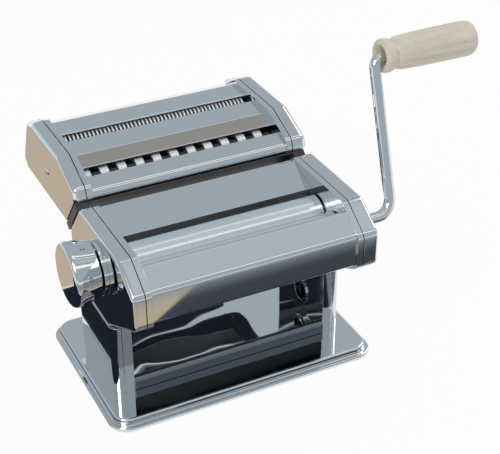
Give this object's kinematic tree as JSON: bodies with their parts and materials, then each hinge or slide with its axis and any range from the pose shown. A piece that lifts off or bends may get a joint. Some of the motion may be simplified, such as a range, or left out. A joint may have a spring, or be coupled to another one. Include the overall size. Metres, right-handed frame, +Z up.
{
  "type": "pasta roller machine",
  "caption": "Hand-cranked chrome pasta machine with adjustable smooth rollers, a setting knob, a removable crank and a slide-on cutter head for fine and wide noodles.",
  "frame": {"origin": "on the table, at the middle of the base, where the middle rubber foot rests", "axes": "+Z up, +X along the rollers towards the crank, -Y towards the front where the dough is fed"},
  "size_m": [0.3167, 0.2226, 0.2242],
  "materials": {
    "chrome": "polished",
    "steel": "ground",
    "bronze": "plain bearing",
    "black_plastic": "satin",
    "wood": "turned beech, oiled",
    "rubber": "matte"
  },
  "bodies": {
    "frame": {"base_plate": "chrome", "rubber_feet": "rubber", "base_screws": "steel", "left_side_frame": "chrome", "right_side_frame": "chrome", "clamp_eyelets": "chrome", "left_leg_cover": "chrome", "right_leg_cover": "chrome", "lower_tie_bar": "chrome", "tie_rods": "steel", "tie_rod_screws": "steel", "front_cover": "chrome", "rear_cover": "chrome", "left_end_cover": "chrome", "right_end_cover": "chrome", "end_cover_screws": "steel", "roller_scrapers": "black_plastic", "drive_bushes": "bronze", "adjuster_brackets": "steel", "knob_collar": "chrome", "guide_rails": "black_plastic"},
    "drive": {"front_roller": "steel", "drive_gear": "steel", "drive_clip": "steel"},
    "carriage": {"left_bearing_slide": "steel", "right_bearing_slide": "steel", "slide_bushes": "bronze"},
    "rear_roller": {"rear_roller": "steel", "rear_gear": "steel"},
    "adjuster": {"adjuster_shaft": "steel", "adjuster_cams": "steel", "knob_nut": "steel", "knob_spring": "steel"},
    "knob": {"thickness_knob": "chrome", "knob_cap": "chrome"},
    "index_plunger": {"index_plunger": "steel"},
    "crank": {"crank_rod": "chrome", "grip_ring": "steel"},
    "grip": {"crank_grip": "wood", "grip_plug": "wood"},
    "cutter_head": {"cutter_left_cheek": "chrome", "cutter_right_cheek": "chrome", "cutter_left_cap": "chrome", "cutter_right_cap": "chrome", "cutter_screws": "steel", "cutter_tie_rods": "steel", "cutter_rear_cover": "chrome", "cutter_middle_cover": "chrome", "cutter_front_cover": "chrome", "cutter_bushes": "bronze", "cutter_combs": "black_plastic", "cutter_guides": "black_plastic"},
    "fine_front": {"fine_cutter_front": "steel", "fine_gear_front": "steel"},
    "fine_rear": {"fine_cutter_rear": "steel", "fine_gear_rear": "steel"},
    "wide_front": {"wide_cutter_front": "steel", "wide_gear_front": "steel"},
    "wide_rear": {"wide_cutter_rear": "steel", "wide_gear_rear": "steel"}
  },
  "joints": [
    {"name": "drive_turn", "type": "hinge", "parent": "frame", "child": "drive", "pos_m": [0, -0.05, 0.107], "axis": [1, 0, 0], "continuous": true},
    {"name": "crank_pull", "type": "slide", "parent": "drive", "child": "crank", "axis": [1, 0, 0], "range_m": [0, 0.02]},
    {"name": "grip_turn", "type": "hinge", "parent": "crank", "child": "grip", "pos_m": [0.165, -0.01204, 0.21131], "axis": [1, 0, 0], "continuous": true},
    {"name": "knob_turn", "type": "hinge", "parent": "frame", "child": "adjuster", "pos_m": [0, -0.0213, 0.107], "axis": [1, 0, 0], "range_deg": [0, 270]},
    {"name": "knob_pull", "type": "slide", "parent": "adjuster", "child": "knob", "axis": [-1, 0, 0], "range_m": [0, 0.004], "stiffness_N_per_m": 400, "springref_m": -0.004},
    {"name": "index_press", "type": "slide", "parent": "frame", "child": "index_plunger", "axis": [1, 0, 0], "range_m": [0, 0.0012], "stiffness_N_per_m": 500, "springref_m": -0.001},
    {"name": "gap_slide", "type": "slide", "parent": "frame", "child": "carriage", "axis": [0, 1, 0], "range_m": [0, 0.0042]},
    {"name": "rear_roller_turn", "type": "hinge", "parent": "carriage", "child": "rear_roller", "pos_m": [0, -0.0234, 0.107], "axis": [1, 0, 0], "continuous": true},
    {"name": "cutter_lift", "type": "slide", "parent": "frame", "child": "cutter_head", "axis": [0, -0.6428, 0.766], "range_m": [0, 0.042]},
    {"name": "fine_turn", "type": "hinge", "parent": "cutter_head", "child": "fine_rear", "pos_m": [0, 0.093, 0.14], "axis": [1, 0, 0], "continuous": true},
    {"name": "fine_front_turn", "type": "hinge", "parent": "cutter_head", "child": "fine_front", "pos_m": [0, 0.078, 0.14], "axis": [1, 0, 0], "continuous": true},
    {"name": "wide_turn", "type": "hinge", "parent": "cutter_head", "child": "wide_rear", "pos_m": [0, 0.0525, 0.1313], "axis": [1, 0, 0], "continuous": true},
    {"name": "wide_front_turn", "type": "hinge", "parent": "cutter_head", "child": "wide_front", "pos_m": [0, 0.0375, 0.1313], "axis": [1, 0, 0], "continuous": true}
  ],
  "couplings": [
    {"joint": "rear_roller_turn", "follows": "drive_turn", "ratio": -1},
    {"joint": "knob_turn", "follows": "gap_slide", "rad_per_m": 1121.9},
    {"joint": "fine_front_turn", "follows": "fine_turn", "ratio": -1},
    {"joint": "wide_front_turn", "follows": "wide_turn", "ratio": -1}
  ]
}
